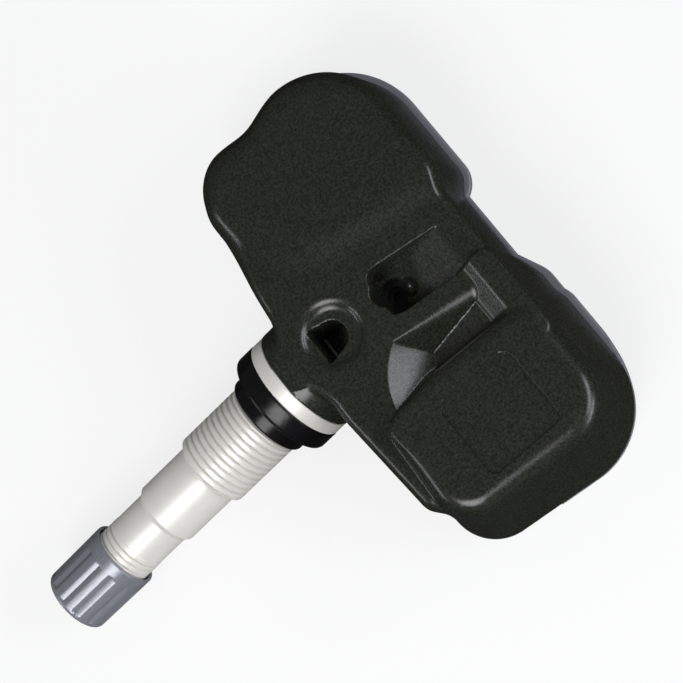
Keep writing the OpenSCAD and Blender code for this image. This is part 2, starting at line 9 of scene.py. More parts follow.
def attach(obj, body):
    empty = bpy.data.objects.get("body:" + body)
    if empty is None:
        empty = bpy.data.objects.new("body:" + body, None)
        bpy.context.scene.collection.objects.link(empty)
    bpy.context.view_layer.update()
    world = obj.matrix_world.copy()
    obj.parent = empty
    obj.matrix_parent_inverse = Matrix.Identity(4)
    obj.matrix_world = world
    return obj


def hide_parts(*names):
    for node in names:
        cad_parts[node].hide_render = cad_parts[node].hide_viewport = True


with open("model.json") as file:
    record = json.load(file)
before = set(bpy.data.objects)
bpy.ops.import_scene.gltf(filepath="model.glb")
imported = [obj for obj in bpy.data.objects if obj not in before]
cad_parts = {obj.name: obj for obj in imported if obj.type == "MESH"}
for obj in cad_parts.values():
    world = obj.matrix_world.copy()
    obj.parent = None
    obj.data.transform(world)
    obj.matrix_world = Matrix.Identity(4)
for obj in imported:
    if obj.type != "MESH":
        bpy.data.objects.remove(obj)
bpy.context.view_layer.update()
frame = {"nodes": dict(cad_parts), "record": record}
MM = 0.001


# camera
def make_camera():
    """The camera of the photograph, as an eye point and three axes in the row frame."""
    right = np.array((0.60584348, -0.41023942, -0.68165776))
    down = np.array((0.75137048, 0.0133892, 0.65974475))
    ahead = np.array((-0.26152645, -0.91187957, 0.31635355))
    data = bpy.data.cameras.new("camera")
    data.sensor_width = 36
    data.lens = 3000 / 683 * 36
    data.clip_start, data.clip_end = 0.01, 10
    cam = bpy.data.objects.new("camera", data)
    bpy.context.scene.collection.objects.link(cam)
    turn = Matrix([[right[i], -down[i], -ahead[i]] for i in range(3)]).to_4x4()
    turn.translation = np.array((93.1006, 325.53157, -124.07393)) * MM
    cam.matrix_world = turn
    bpy.context.scene.camera = cam


make_camera()


# shader maths
class Wire:
    """A shader value that takes + - * / and can be fed to any node."""

    def __init__(self, tree, socket):
        self.tree, self.socket = tree, socket

    def node(self, kind, out=0, inputs=None, **settings):
        made = self.tree.nodes.new(kind)
        for key, value in settings.items():
            setattr(made, key, value)
        for key, value in (inputs or {}).items():
            plug(self.tree, made.inputs[key], value)
        return Wire(self.tree, made.outputs[out])

    def maths(self, operation, other):
        made = self.tree.nodes.new("ShaderNodeMath")
        made.operation = operation
        for i, value in enumerate((self, other)):
            plug(self.tree, made.inputs[i], value)
        return Wire(self.tree, made.outputs[0])

    def __add__(self, other):
        return self.maths("ADD", other)

    def __sub__(self, other):
        return self.maths("SUBTRACT", other)

    def __mul__(self, other):
        return self.maths("MULTIPLY", other)

    def __truediv__(self, other):
        return self.maths("DIVIDE", other)

    def __rsub__(self, other):
        return (self * -1).maths("ADD", other)

    __radd__, __rmul__ = __add__, __mul__

    def between(self, low, high):
        """0 below low, 1 above high, smooth in between."""
        return self.node("ShaderNodeMapRange", inputs={0: self, 1: low, 2: high},
                         interpolation_type="SMOOTHSTEP")


def plug(tree, socket, value):
    if isinstance(value, Wire):
        tree.links.new(value.socket, socket)
    else:
        socket.default_value = value


class Finish:
    """A material with one principled shader, and helpers for what varies on it."""

    def __init__(self, name, colour, roughness, metallic=0.0, **fixed):
        self.material = bpy.data.materials.new(name)
        self.material.use_nodes = True
        self.tree = self.material.node_tree
        self.shader = next(n for n in self.tree.nodes if n.type == "BSDF_PRINCIPLED")
        self.set("Base Color", (*colour, 1))
        self.set("Roughness", roughness)
        self.set("Metallic", metallic)
        for key, value in fixed.items():
            self.set(key.replace("_", " "), value)
        self.material.diffuse_color = (*colour, 1)

    def set(self, name, value):
        plug(self.tree, self.shader.inputs[name], value)

    def place(self, scale=(1, 1, 1), turn=(0, 0, 0)):
        """Object coordinates in millimetres, scaled and turned."""
        origin = Wire(self.tree, None)
        at = origin.node("ShaderNodeTexCoord", out="Object")
        return at.node("ShaderNodeMapping", inputs={
            "Vector": at, "Rotation": turn, "Scale": tuple(1000 * s for s in scale)})

    def noise(self, size, detail=3, roughness=0.5, scale=(1, 1, 1), turn=(0, 0, 0)):
        at = self.place(scale, turn)
        return at.node("ShaderNodeTexNoise", inputs={
            "Vector": at, "Scale": 1 / size, "Detail": detail, "Roughness": roughness})

    def mix(self, amount, low, high):
        return amount.node("ShaderNodeMix", out=2, data_type="RGBA",
                           inputs={0: amount, 6: (*low, 1), 7: (*high, 1)})

    def bump(self, *layers):
        """Each layer is a height from 0 to 1 and its depth in millimetres."""
        under = None
        for height, depth in layers:
            inputs = {"Strength": 1.0, "Distance": depth * MM, "Height": height}
            if under is not None:
                inputs["Normal"] = under
            under = height.node("ShaderNodeBump", inputs=inputs)
        self.set("Normal", under)


def moulded_black():
    """Glass-filled black plastic: a fine speckle and a faint orange peel."""
    f = Finish("moulded_black", (0.01, 0.011, 0.007), 0.27, Specular_IOR_Level=0.5)
    speckle = f.noise(0.3, detail=3, roughness=0.65)
    broad = f.noise(7, detail=2)
    f.set("Base Color", f.mix(speckle.between(0.3, 0.7), (0.008, 0.009, 0.006), (0.024, 0.026, 0.0185)))
    f.set("Roughness", speckle.between(0.3, 0.7) * 0.1 + broad.between(0.35, 0.65) * 0.03 + 0.2)
    f.bump((speckle, 0.004), (f.noise(0.8), 0.004))
    return f.material


def moulded_cover():
    f = Finish("moulded_cover", (0.2, 0.2, 0.22), 0.35)
    grain = f.noise(0.3)
    f.set("Roughness", grain.between(0.3, 0.7) * 0.1 + 0.3)
    f.bump((grain, 0.006))
    return f.material


def plated_alloy():
    """Turned alloy with a satin plating: fine rings from the lathe."""
    f = Finish("plated_alloy", (0.76, 0.74, 0.7), 0.4, metallic=0.25)
    rings = f.noise(0.06, detail=2, scale=(0.05, 0.05, 1))
    tone = f.noise(5, detail=2)
    f.set("Base Color", f.mix(tone.between(0.3, 0.7), (0.73, 0.71, 0.66), (0.78, 0.76, 0.72)))
    f.set("Roughness", rings * 0.1 + 0.37)
    f.bump((rings, 0.002))
    return f.material


def glossy_rubber():
    f = Finish("glossy_rubber", (0.004, 0.004, 0.0045), 0.22, Specular_IOR_Level=0.3)
    grain = f.noise(0.8)
    f.set("Roughness", grain.between(0.3, 0.7) * 0.08 + 0.2)
    f.bump((grain, 0.004))
    return f.material


def satin_grey():
    """The cap's grey plastic, with a metallic gloss."""
    f = Finish("satin_grey", (0.28, 0.29, 0.32), 0.3, metallic=0.45)
    scuff = f.noise(0.2, scale=(1, 1, 0.15))
    f.set("Base Color", f.mix(scuff.between(0.3, 0.7), (0.25, 0.26, 0.29), (0.29, 0.3, 0.33)))
    f.set("Roughness", scuff * 0.1 + 0.25)
    f.bump((scuff, 0.0015))
    return f.material


def plain(name, colour, roughness, metallic=0.0, size=0.3, depth=0.01):
    f = Finish(name, colour, roughness, metallic)
    grain = f.noise(size)
    dark = tuple(c * 0.8 for c in colour)
    f.set("Base Color", f.mix(grain.between(0.3, 0.7), dark, colour))
    f.set("Roughness", grain * 0.15 + (roughness - 0.07))
    f.bump((grain, depth))
    return f.material


def board_green():
    f = Finish("board_green", (0.02, 0.12, 0.05), 0.35)
    tracks = f.place().node("ShaderNodeTexVoronoi", inputs={
        "Vector": f.place(), "Scale": 0.7}, feature="DISTANCE_TO_EDGE")
    line = tracks.between(0.03, 0.06)
    f.set("Base Color", f.mix(line, (0.035, 0.2, 0.085), (0.018, 0.1, 0.045)))
    f.bump((line, 0.02))
    return f.material


# meshes
def solid(name, points, faces, material, body, replaces, sharp=None):
    """Puts a closed mesh, given in millimetres, in the scene in place of a CAD node."""
    mesh = bpy.data.meshes.new(name)
    points = np.asarray(points, float) * MM
    mesh.from_pydata(points.tolist(), [], faces)
    mesh.validate()
    mesh.materials.append(material)
    mesh.polygons.foreach_set("use_smooth", [True] * len(mesh.polygons))
    if sharp is not None:
        mesh.set_sharp_from_angle(angle=math.radians(sharp))
    made = bpy.data.objects.new(name, mesh)
    bpy.context.scene.collection.objects.link(made)
    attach(made, body)
    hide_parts(replaces)
    return made


def softened(path, steps=4):
    """A closed outline of (r, z, corner radius), with each corner turned into an arc."""
    out = []
    n = len(path)
    for i in range(n):
        (r0, z0, _), (r1, z1, rad), (r2, z2, _) = path[i - 1], path[i], path[(i + 1) % n]
        a, b = np.array((r0 - r1, z0 - z1)), np.array((r2 - r1, z2 - z1))
        la, lb = np.linalg.norm(a), np.linalg.norm(b)
        cut = min(rad, 0.45 * la, 0.45 * lb)
        if cut <= 0.001:
            out.append((r1, z1))
            continue
        c = np.array((r1, z1))
        p, q = c + a / la * cut, c + b / lb * cut
        for k in range(steps + 1):
            t = k / steps
            out.append(tuple((1 - t) ** 2 * p + 2 * t * (1 - t) * c + t * t * q))
    return out


def turned(path, around, shape=None, longest=None):
    """A closed outline of (r, z) turned about the stem's axis. shape changes the radius by angle."""
    rows = []
    for i, (r, z) in enumerate(path):
        rows.append((r, z))
        r2, z2 = path[(i + 1) % len(path)]
        if longest:
            parts = int(math.hypot(r2 - r, z2 - z) / longest(r, z, r2, z2))
            rows += [(r + (r2 - r) * k / parts, z + (z2 - z) * k / parts) for k in range(1, parts)]
    rows = np.array(rows)
    angle = np.arange(around) * 2 * math.pi / around
    r = np.repeat(rows[:, :1], around, 1)
    z = np.repeat(rows[:, 1:], around, 1)
    if shape:
        r = shape(r, z, angle[None, :])
    points, ids = [], np.zeros(r.shape, int)
    for i in range(len(rows)):
        if rows[i, 0] < 1e-6:
            ids[i] = len(points)
            points.append((0, 0, z[i, 0]))
        else:
            ids[i] = len(points) + np.arange(around)
            points += list(zip(r[i] * np.cos(angle), r[i] * np.sin(angle), z[i]))
    faces = []
    for i in range(len(rows)):
        j = (i + 1) % len(rows)
        for k in range(around):
            m = (k + 1) % around
            quad = [ids[i, k], ids[i, m], ids[j, m], ids[j, k]]
            face = [int(v) for n, v in enumerate(quad) if v != quad[n - 1]]
            if len(face) > 2:
                faces.append(face)
    return points, faces


# sizes, in millimetres, as in the part's source
flange_front, flange_back, tail_end = -2.7, -4.6, -9.1
sleeve_top, barrel_z, neck_z, cap_thread_z, tip_z = 2.16, 12.36, 21.26, 25.56, 35.16
cap_mouth_z, cap_inner_z, cap_top = 28.16, 36.16, 37.36
flange_r, seat_r, barrel_r, neck_r = 7.15, 7.2, 4.3, 3.8
DIP = math.radians(10)
face_z, left_z, right_z, base_z = 7.5, 8.0, 9.5, -7.6
dish_y, dish_z, dish_r = 8.9, 6.8, 3.3
tail_y = 6.4 / math.cos(DIP)
boss_r, collar_r, shank_r = 7.3, 7.2, 4.22
valley_far, valley_slope = 27.5, math.radians(16)
ridge_x, ridge_y, ridge_slope, ridge_turn = 5.4, 13.5, math.radians(47), math.radians(10)
sail_x, sail_y, sail_r = 8.6, 10.5, 16
sail_swing, sail_lean = math.radians(57), math.radians(34)
ramp_far, ramp_slope = 26.5, math.radians(24)
port_x, port_y, port_r = 0.2, 16.95, 1.85
bar_y, bar_rise = 25.5, 1.3
label_x, label_y, label_half, label_deep = 20.6, 18.7, 5.3, 0.3
wall, left_room_z, mid_room_z, well_z = 1.5, 6.5, 1.77, -0.2
mid_x, mid_y, mid_half, mid_deep = 0.25, 20, 13.25, 8
well_x, well_y, well_r = 18.1, 18.5, 10.3
lip, plate_z = 0.75, -8.8
coil_turns, coil_wire = 14, 0.4


def thread(r, z, angle, foot, top, major, pitch, depth):
    """Cuts a right-handed thread into a radius between two heights."""
    phase = z / pitch - angle / (2 * math.pi)
    off = np.abs((phase + 0.5) % 1 - 0.5)
    groove = np.clip(1.05 - off / 0.2, 0, 1)
    run = np.clip((z - foot) / (0.7 * pitch), 0, 1) * np.clip((top - z) / (0.35 * pitch), 0, 1)
    inside = (z > foot) & (z < top) & (r > major - 0.8)
    return np.where(inside, np.minimum(r, major - depth * groove * run), r)


def make_stem(material):
    path = softened([
        (4.2, tail_end, 0.3), (4.2, tail_end + 1.2, 0.1), (3.6, tail_end + 1.6, 0.1),
        (3.6, tail_end + 2.6, 0.1), (4.2, tail_end + 3, 0.1), (4.2, flange_back, 0.1),
        (flange_r, flange_back, 0.22), (flange_r, flange_front, 0.22), (4.4, flange_front, 0.1),
        (4.4, sleeve_top, 0.1), (4.6, sleeve_top, 0.05), (5.0, sleeve_top + 0.4, 0.1),
        (5.0, barrel_z - 0.4, 0.1), (4.6, barrel_z, 0.1), (barrel_r, barrel_z, 0.05),
        (barrel_r, neck_z - 1.05, 0.04), (neck_r, neck_z - 0.35, 0.04),
        (neck_r, cap_thread_z, 0.05), (3.85, cap_thread_z + 0.05, 0.05), (3.85, tip_z - 0.5, 0.1),
        (3.35, tip_z, 0.1), (3.05, tip_z, 0.05), (2.65, tip_z - 0.3, 0.05),
        (2.65, 29.46, 0.1), (2.15, 28.26, 0.1), (2.15, 15.66, 0.1), (1.6, 15.1, 0.1),
        (1.6, tail_end, 0.1)])

    def step(r, z, r2, z2):
        if min(r, r2) > 4.9 and z2 > 2:
            return 1 / 14
        if min(r, r2) > 3.84 and z > 25 and z2 > z:
            return 0.794 / 12
        return 1.2

    def shape(r, z, angle):
        r = thread(r, z, angle, sleeve_top, barrel_z, 5.0, 0.907, 0.36)
        return thread(r, z, angle, cap_thread_z + 0.1, tip_z, 3.85, 0.794, 0.3)

    points, faces = turned(path, 112, shape, step)
    solid("stem_threaded", points, faces, material, "case", "valve_stem", 35)


def make_grommet(material):
    path = softened([
        (4.42, flange_front, 0.05), (seat_r, flange_front, 0.3), (seat_r, 0, 0.6), (5.5, 0, 0.2),
        (5.5, sleeve_top, 0.35), (4.42, sleeve_top, 0.1)], 6)
    points, faces = turned(path, 120, None, lambda *a: 0.6)
    solid("grommet_moulded", points, faces, material, "case", "grommet", 40)


def make_cap(material):
    grip_foot, grip_top = cap_top - 7.6, cap_top - 0.6
    path = softened([
        (4.1, cap_mouth_z, 0.1), (4.5, cap_mouth_z, 0.2), (4.4, cap_top, 0.5), (0, cap_top, 0),
        (0, cap_inner_z, 0), (3.9, cap_inner_z, 0.1), (3.9, cap_mouth_z + 1, 0.05),
        (4.1, cap_mouth_z + 1, 0.05)], 6)

    def shape(r, z, angle):
        turn = angle * 12 / (2 * math.pi) + 0.5
        off = np.abs((turn % 1) - 0.5) * (2 * math.pi * 4.4 / 12)
        notch = np.clip(1 - off / 0.66, 0, 1) * 0.25
        end = np.clip((z - grip_foot) / 0.1, 0, 1) * np.clip((grip_top - z) / 0.1, 0, 1)
        return np.where(r > 4.15, r - notch * end, r)

    def step(r, z, r2, z2):
        return 0.12 if min(r, r2) > 4.15 and z2 > z else 1

    points, faces = turned(path, 288, shape, step)
    solid("cap_fluted", points, faces, material, "cap", "valve_cap", 20)


def winding_tree(material):
    """Geometry Nodes: turns of wire in rounded squares, set side by side along X."""
    tree = bpy.data.node_groups.new("winding", "GeometryNodeTree")
    for name, kind in (("Turns", "Int"), ("Span", "Float"), ("Side", "Float"), ("Wire", "Float")):
        tree.interface.new_socket(name, in_out="INPUT", socket_type="NodeSocket" + kind)
    tree.interface.new_socket("Geometry", in_out="OUTPUT", socket_type="NodeSocketGeometry")
    start = Wire(tree, None)
    count, span, side, wire = (
        start.node("NodeGroupInput", out=name) for name in ("Turns", "Span", "Side", "Wire"))
    room = side - wire
    square = start.node("GeometryNodeCurvePrimitiveQuadrilateral", inputs={"Width": room, "Height": room})
    loop = start.node("GeometryNodeFilletCurve", inputs={"Curve": square, "Radius": wire})
    loop.socket.node.mode = "POLY"
    plug(tree, loop.socket.node.inputs["Count"], 4)
    section = start.node("GeometryNodeCurvePrimitiveCircle", inputs={"Resolution": 8, "Radius": wire * 0.5})
    turn = start.node("GeometryNodeCurveToMesh", inputs={"Curve": loop, "Profile Curve": section})
    upright = start.node("GeometryNodeTransform", inputs={
        "Geometry": turn, "Rotation": (0, math.pi / 2, 0)})
    offset = start.node("ShaderNodeCombineXYZ", inputs={"X": (span - wire) / (count - 1)})
    first = start.node("ShaderNodeCombineXYZ", inputs={"X": (span - wire) * -0.5})
    places = start.node("GeometryNodeMeshLine", inputs={
        "Count": count, "Start Location": first, "Offset": offset})
    turns = start.node("GeometryNodeInstanceOnPoints", inputs={"Points": places, "Instance": upright})
    whole = start.node("GeometryNodeRealizeInstances", inputs={"Geometry": turns})
    done = start.node("GeometryNodeSetMaterial", inputs={"Geometry": whole, "Material": material})
    out = tree.nodes.new("NodeGroupOutput")
    plug(tree, out.inputs["Geometry"], done)
    return tree


def grown_by(tree, values):
    """Points and faces that a tree makes with these inputs."""
    holder = bpy.data.objects.new("holder", bpy.data.meshes.new("holder"))
    bpy.context.scene.collection.objects.link(holder)
    grow = holder.modifiers.new("grow", "NODES")
    grow.node_group = tree
    for item in tree.interface.items_tree:
        if item.in_out == "INPUT":
            grow[item.identifier] = values[item.name]
    made = holder.evaluated_get(bpy.context.evaluated_depsgraph_get())
    mesh = bpy.data.meshes.new_from_object(made)
    holder.modifiers.remove(grow)
    bpy.data.objects.remove(holder)
    return np.array([v.co[:] for v in mesh.vertices]), [list(f.vertices) for f in mesh.polygons]


def make_coil(material):
    """The wake-up coil's turns, in the room that the part gives them."""
    kept = frame["nodes"]["lf_coil_winding"].data.vertices
    room = to_case(np.array([v.co[:] for v in kept]) / MM)
    low, high = room.min(0), room.max(0)
    span, _, side = (float(v) for v in high - low)
    points, faces = grown_by(winding_tree(material), {
        "Turns": coil_turns, "Span": span, "Side": side, "Wire": coil_wire})
    solid("coil_turns", to_row(points + (low + high) / 2), faces, material, "case",
          "lf_coil_winding")


# forms given by their distance
def all_of(a, b, r=0.0):
    """The overlap of two forms, with their outer edge rounded."""
    return np.minimum(-r, np.maximum(a, b)) + np.hypot(np.maximum(a + r, 0), np.maximum(b + r, 0))


def either(a, b, r=0.0):
    """Two forms joined, with a fillet in their inner corner."""
    return -all_of(-a, -b, r)


def less(a, b, r=0.0):
    """A form with another cut out of it, and the cut's edge rounded."""
    return all_of(a, -b, r)


def around_circles(x, y, circles):
    """Distance to the band drawn tight round some circles, given anticlockwise."""
    n = len(circles)
    normals, d = [], None
    for i in range(n):
        (ax, ay, ar), (bx, by, br) = circles[i], circles[(i + 1) % n]
        ex, ey = bx - ax, by - ay
        long = np.hypot(ex, ey)
        ex, ey = ex / long, ey / long
        s = (ar - br) / long
        c = np.sqrt(1 - s * s)
        nx, ny = ey * c + ex * s, -ex * c + ey * s
        normals.append((nx, ny))
        off = (x - ax) * nx + (y - ay) * ny - ar
        d = off if d is None else np.maximum(d, off)
    for i in range(n):
        (ax, ay, ar), (px, py), (qx, qy) = circles[i], normals[i - 1], normals[i]
        ux, uy = x - ax, y - ay
        corner = (px * uy - py * ux >= 0) & (ux * qy - uy * qx >= 0)
        d = np.where(corner, np.hypot(ux, uy) - ar, d)
    return d


def grown(circles, by):
    """The same circles, each wider by one amount."""
    return [(cx, cy, r + by) for cx, cy, r in circles]


left_foot = [(-19.5, 20.5, 11), (-22, 12.3, 7.3), (-10, 11, 6.4), (-9.4, 28.5, 3)]
left_shoulder = [(-18.2, 21.3, 9.8), (-20.6, 12.2, 6.5), (-12.4, 17, 6.9), (-8.4, 27.1, 4)]
right_foot = [(20.8, 21.5, 10), (12, 28.3, 3.2), (13.6, 15, 5.4), (12.6, 10, 3.4), (23.5, 10.3, 6.2)]
right_shoulder = [(22.9, 23.5, 6.25), (15, 26.5, 3.25), (16.8, 14.6, 5.4), (15.1, 9.4, 2.6),
                  (23.2, 11.6, 5.25)]
left_plateau = [(-24, 26, 9), (-26, 13.5, 6), (-14.5, 17.6, 7), (-11.2, 29, 5.6)]
mid_foot = [(-20, 27.1, 2.7), (-20, 9, 3.4), (-6, 6.6, 2.7), (9, 6.2, 2.7), (22, 7.2, 2.8),
            (22, 27.1, 2.7)]
bar_plan = [(4.3, 24.4), (17, 24.4), (17, 31.5), (7.4, 31.5), (4.3, 30.1)]
bar_lip = [(3.4, 25.8), (17, 25.8), (17, 31.9), (7.3, 31.9), (3.4, 30.2)]
ramp_plan = [(-1.3, 28), (-2.9, 17.15), (-2.6, 16.35), (-2, 15.95), (3, 15.95), (3.6, 16.85), (4.7, 28)]
label_plan = [(-9, -9), (label_half, -9), (label_half, label_half), (-9, label_half)]
hole_plan = [(0, 8.6, 2.0), (-2.05, tail_y + 0.35, 0.35), (2.05, tail_y + 0.35, 0.35)]


def lofted(x, y, z, foot, shoulder, top):
    """Distance to the side of a form whose outline changes from its foot to its shoulder."""
    t = np.clip((z - base_z) / (top - base_z), 0, 1)
    circles = [tuple(a + (b - a) * t for a, b in zip(p, q)) for p, q in zip(foot, shoulder)]
    return around_circles(x, y, circles)


def ramp(t):
    """0 below 0, 1 above 1, smooth in between."""
    t = np.clip(t, 0, 1)
    return t * t * (3 - 2 * t)


def left_waist(x, y):
    """How far the left lobe's outline is drawn in between its two rounds."""
    return 0.75 * np.exp(-((y - 15.8) / 3) ** 2) * ramp((-22 - x) / 4)


def left_top(x, y):
    """Height of the left lobe and the middle face, with the gentle slope between them."""
    wide = 2.1 + 0.9 * ramp((17 - y) / 7)
    off = around_circles(x, y, left_plateau)
    return left_z - (left_z - face_z) * ramp((off + wide) / (2 * wide))


def flat(x, y, z, point, normal):
    """Distance above a plane."""
    n = np.array(normal, float)
    n /= np.linalg.norm(n)
    return (x - point[0]) * n[0] + (y - point[1]) * n[1] + (z - point[2]) * n[2]


def prism(x, y, corners, r=0.0):
    """Distance to a many-sided column, corners anticlockwise."""
    d = None
    for i, (ax, ay) in enumerate(corners):
        bx, by = corners[(i + 1) % len(corners)]
        long = math.hypot(bx - ax, by - ay)
        off = (x - ax) * (by - ay) / long - (y - ay) * (bx - ax) / long
        d = off if d is None else all_of(d, off, r)
    return d


def along_stem(y, z):
    """Distance along the stem from its flange's front, and off its axis, in the case's frame."""
    return -math.cos(DIP) * y - math.sin(DIP) * z, -math.sin(DIP) * y + math.cos(DIP) * z


def valley(x, y, z):
    """The hollow beside the right lobe: a sloping floor, a ridge on its left and a curved facet in front."""
    up_slope = (0, -math.sin(valley_slope), math.cos(valley_slope))
    floor = -flat(x, y, z, (0, valley_far, face_z), up_slope)
    out = (x - ridge_x) * math.cos(ridge_turn) - (y - ridge_y) * math.sin(ridge_turn)
    ridge = -((z - face_z) * math.cos(ridge_slope) + out * math.sin(ridge_slope))
    dx, dy, dz = x - sail_x, y - sail_y, z - face_z
    along = math.cos(sail_swing) * dx + math.sin(sail_swing) * dy
    across = -math.sin(sail_swing) * dx + math.cos(sail_swing) * dy
    up = along * math.sin(sail_lean) + dz * math.cos(sail_lean)
    sail = np.hypot(across, up - sail_r) - sail_r
    return all_of(all_of(floor, ridge, 0.02), sail, 0.04)


def port_ramp(x, y, z):
    """The ramp down to the pressure port, with the port and the scoop in front of it."""
    up_slope = (0, -math.sin(ramp_slope), math.cos(ramp_slope))
    floor = -flat(x, y, z, (0, ramp_far, face_z), up_slope)
    down = all_of(floor, prism(x, y, ramp_plan, 0.4), 0.05)
    port = all_of(np.hypot(x - port_x, y - port_y) - port_r, 0.8 - z, 0.2)
    scoop = np.sqrt((x - 0.9) ** 2 + (y - 18.9) ** 2 + ((z - 4.6) * 0.8) ** 2) - 1.3
    return either(either(down, port, 0.25), scoop, 0.15)


def air_outlet(x, y, z):
    """The dish over the valve's boss and the three-sided hole in it."""
    rad = np.hypot(x, y - dish_y)
    dish = all_of((rad - dish_r - (z - dish_z) * 0.9) * 0.743, dish_z - z, 0.4)
    return dish, all_of(around_circles(x, y, hole_plan), -1 - z)


def raised_bar(x, y, z):
    """The bar at the valley's far end, with a slope on its near side."""
    front = flat(x, y, z, (0, bar_y, face_z), (0, -0.6, 0.8))
    back = flat(x, y, z, (0, 29.9, 6.8), (0, 1, 0.1))
    above = all_of(front, z - face_z - bar_rise, 0.4)
    return all_of(above, all_of(prism(x, y, bar_plan, 0.3), back, 1.2), 0.3)


def case_form(x, y, z):
    """The whole case: middle, left lobe, collar, the hollows of its face, right lobe and rooms."""
    boss = all_of(np.hypot(x, y - dish_y) - boss_r, -4 - z)
    plan = either(around_circles(x, y, mid_foot), boss, 1.0)
    plan = either(plan, lofted(x, y, z, left_foot, left_shoulder, 5.5) + left_waist(x, y), 0.9)
    d = all_of(plan, z - left_top(x, y), 1.6 + 1.9 * ramp((-9 - x) / 8))
    s, q = along_stem(y, z)
    collar = all_of(all_of(np.hypot(x, q) - collar_r, -8.9 - s), z - 7.2)
    d = either(d, collar, 0.3)
    d = less(d, valley(x, y, z), 0.12 + 0.5 * ramp((y - 14) / 9) * ramp((11 - x) / 3))
    d = less(d, port_ramp(x, y, z), 0.2)
    d = either(d, raised_bar(x, y, z), 0.3)
    tip = 1.6 * np.exp(-((x - 14) ** 2 + (y - 8.8) ** 2) / 9)
    lobe = all_of(lofted(x, y, z, right_foot, right_shoulder, 7.3), z - right_z, 2.2 - tip)
    d = either(d, lobe, 0.5)
    dish, hole = air_outlet(x, y, z)
    d = less(less(d, dish, 0.45), hole, 0.15)
    d = less(d, all_of(np.hypot(x, q) - shank_r, -6.4 - s))
    d = all_of(d, s + 1.9, 0.2)
    label = prism(np.abs(x - label_x), np.abs(y - label_y), label_plan, 1.2)
    d = less(d, all_of(label, right_z - label_deep - z, 0.06), 0.12)
    room = all_of(around_circles(x, y, grown(left_shoulder, -wall)), z - left_room_z)
    mid_room = all_of(all_of(np.abs(x - mid_x) - mid_half, np.abs(y - mid_y) - mid_deep), z - mid_room_z)
    well = all_of(np.hypot(x - well_x, y - well_y) - well_r, z - well_z)
    d = less(d, np.minimum(np.minimum(room, mid_room), well))
    return all_of(d, base_z - z)


def cover_form(x, y, z):
    """The closing plate with its lip, a rib that fits the rooms and four posts under the board."""
    def plan(grow):
        right = grow - max(grow, 0) * 1.05 * ramp((x - 17) / 8)
        d = np.minimum(around_circles(x, y, grown(left_foot, grow)) + left_waist(x, y),
                       around_circles(x, y, right_foot) - right)
        d = np.minimum(d, around_circles(x, y, grown(mid_foot, min(grow, 0.4))))
        return np.minimum(d, prism(x, y, bar_lip, 0.3)) if grow > 0 else d

    def rooms(inset):
        middle = np.maximum(np.abs(x - mid_x) - mid_half, np.abs(y - mid_y) - mid_deep) + inset
        left = around_circles(x, y, grown(left_shoulder, -wall - inset))
        return np.minimum(np.minimum(left, middle), np.hypot(x - well_x, y - well_y) - well_r + inset)

    edge = all_of(plan(lip), 15.2 - y, 0.2)
    plate = all_of(all_of(np.minimum(edge, plan(-lip)), z - base_z, 0.25), plate_z - z, 0.3)
    rib = all_of(less(rooms(0.15), rooms(1.15)), np.abs(z + 7.3) - 0.6)
    posts = np.minimum.reduce([np.hypot(x - px, y - py) - 1.2 for px in (-20, 3.5) for py in (15.2, 25.1)])
    return np.minimum(np.minimum(plate, rib), all_of(posts, np.abs(z + 5.65) - 2.95))


def skin(form, low, high, step):
    """Points, faces and slope of a form's surface, with a point in each small cell that it crosses.

    A point is put where the planes that cross its cell meet, so edges stay crisp.
    """
    axes = [np.arange(a, b + step, step) for a, b in zip(low, high)]
    x, y, z = axes[0][:, None, None], axes[1][None, :, None], axes[2][None, None, :]
    d = form(x, y, z) + 0 * (x + y + z)
    inside = d < 0
    grid_shape = d.shape
    spots, cells, outward = [], [], []
    for axis in range(3):
        head, rest = [slice(None)] * 3, [slice(None)] * 3
        head[axis], rest[axis] = slice(0, -1), slice(1, None)
        da, db = d[tuple(head)], d[tuple(rest)]
        start = np.argwhere(inside[tuple(head)] != inside[tuple(rest)])
        a, b = da[tuple(start.T)], db[tuple(start.T)]
        at = start.astype(float)
        at[:, axis] += a / (a - b)
        spots.append(at * step + [a[0] for a in axes])
        near = []
        for u, v in ((1, 1), (0, 1), (0, 0), (1, 0)):
            cell = start.copy()
            cell[:, (axis + 1) % 3] -= u
            cell[:, (axis + 2) % 3] -= v
            near.append(np.ravel_multi_index(tuple(cell.T), grid_shape))
        cells.append(np.stack(near, 1))
        outward.append(a < 0)
    spots, cells, outward = (np.concatenate(v) for v in (spots, cells, outward))

    def slope(p, h=0.03):
        g = [form(*(p + h * e).T) - form(*(p - h * e).T) for e in np.eye(3)]
        return np.stack(g, 1) / (2 * h)

    g = slope(spots)
    size = np.maximum((g ** 2).sum(1, keepdims=True), 0.2)
    spots = spots - form(*spots.T)[:, None] * g / size
    n = g / np.sqrt(size)
    used, near = np.unique(cells, return_inverse=True)
    near = near.reshape(cells.shape)
    where = near.ravel()
    count = np.bincount(where)

    def gathered(values):
        return np.bincount(where, weights=np.repeat(values, 4)) / count

    middle = np.stack([gathered(spots[:, i]) for i in range(3)], 1)
    matrix = np.stack([np.stack([gathered(n[:, i] * n[:, j]) for j in range(3)], 1) for i in range(3)], 1)
    reach = (n * spots).sum(1)
    right = np.stack([gathered(n[:, i] * reach) for i in range(3)], 1)
    pull = 0.03
    points = np.linalg.solve(matrix + pull * np.eye(3), (right + pull * middle)[:, :, None])[:, :, 0]
    low_corner = np.stack(np.unravel_index(used, grid_shape), 1) * step + [a[0] for a in axes]
    points = np.clip(points, low_corner, low_corner + step)
    faces = np.where(outward[:, None], near, near[:, ::-1])
    return points, faces, slope


